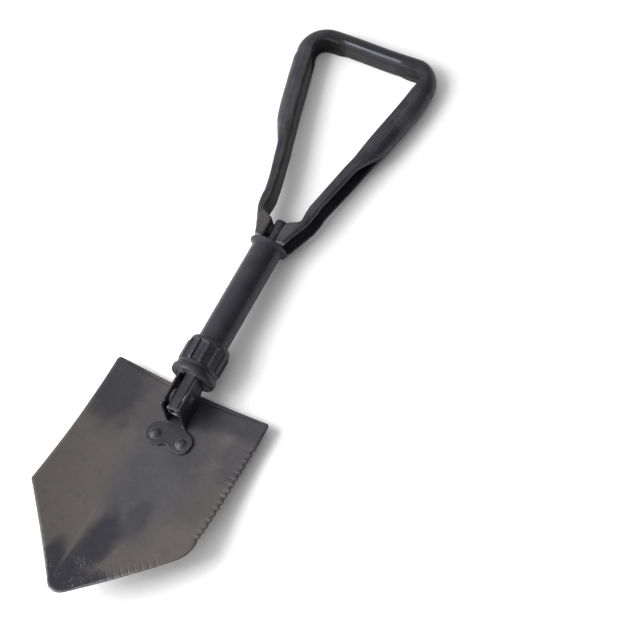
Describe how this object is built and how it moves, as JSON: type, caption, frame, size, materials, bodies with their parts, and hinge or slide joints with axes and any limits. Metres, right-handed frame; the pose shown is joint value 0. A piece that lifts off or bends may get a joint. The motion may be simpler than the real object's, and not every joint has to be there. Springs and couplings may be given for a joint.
{
  "type": "folding camp shovel",
  "caption": "Folding camp shovel: pointed dished blade with a saw-toothed edge, tubular shaft with a ribbed locking nut, and a folding D-shaped grip.",
  "frame": {"origin": "the middle of the open shovel's length and width, level with the lowest point of the blade's back", "axes": "+Y along the shaft from the blade towards the grip, +Z out of the blade's hollow front side, +X to the toothed edge's side"},
  "size_m": [0.156, 0.5926, 0.0462],
  "materials": {
    "tube": "satin blue-black paint",
    "cap": "satin blue-black paint",
    "rod": "dark phosphated steel",
    "hardware": "plain steel",
    "shank": "worn grey-black paint",
    "inner_steel": "oiled steel",
    "bush": "oiled bronze",
    "blade": "scratched dark paint",
    "bracket": "dark paint with grey wear",
    "rivets": "dark paint with worn crowns",
    "nut": "matte dark grey",
    "grip": "worn blue-black paint"
  },
  "bodies": {
    "shaft": {"shaft_tube": "tube", "end_cap": "cap", "tension_rod": "rod", "rod_nut": "hardware", "rod_washer": "hardware", "shank": "shank", "shank_bush": "inner_steel", "shank_cross_pins": "hardware", "threaded_bush": "inner_steel", "pivot_bush": "bush"},
    "blade_group": {"blade": "blade", "blade_bracket": "bracket", "bracket_rivets": "rivets", "blade_pivot_pin": "rivets", "pivot_washers": "hardware"},
    "plate_group": {"pressure_plate": "inner_steel"},
    "nut_group": {"locking_nut": "nut", "plate_ring": "hardware"},
    "grip_group": {"grip_frame": "grip", "grip_pivot_pin": "rod", "grip_spacers": "hardware"}
  },
  "joints": [
    {"name": "blade_fold", "type": "hinge", "parent": "shaft", "child": "blade_group", "pos_m": [0, -0.10171, 0.02542], "axis": [-1, 0, 0], "range_deg": [0, 172]},
    {"name": "grip_fold", "type": "hinge", "parent": "shaft", "child": "grip_group", "pos_m": [0, 0.07739, 0.02542], "axis": [1, 0, 0], "range_deg": [0, 180]},
    {"name": "nut_travel", "type": "slide", "parent": "shaft", "child": "plate_group", "axis": [0, 1, 0], "range_m": [0, 0.008]},
    {"name": "nut_spin", "type": "hinge", "parent": "plate_group", "child": "nut_group", "pos_m": [0, -0.06371, 0.02542], "axis": [0, 1, 0], "range_deg": [0, 720]}
  ],
  "couplings": [
    {"joint": "nut_travel", "follows": "nut_spin", "m_per_rad": 0.0006366}
  ]
}
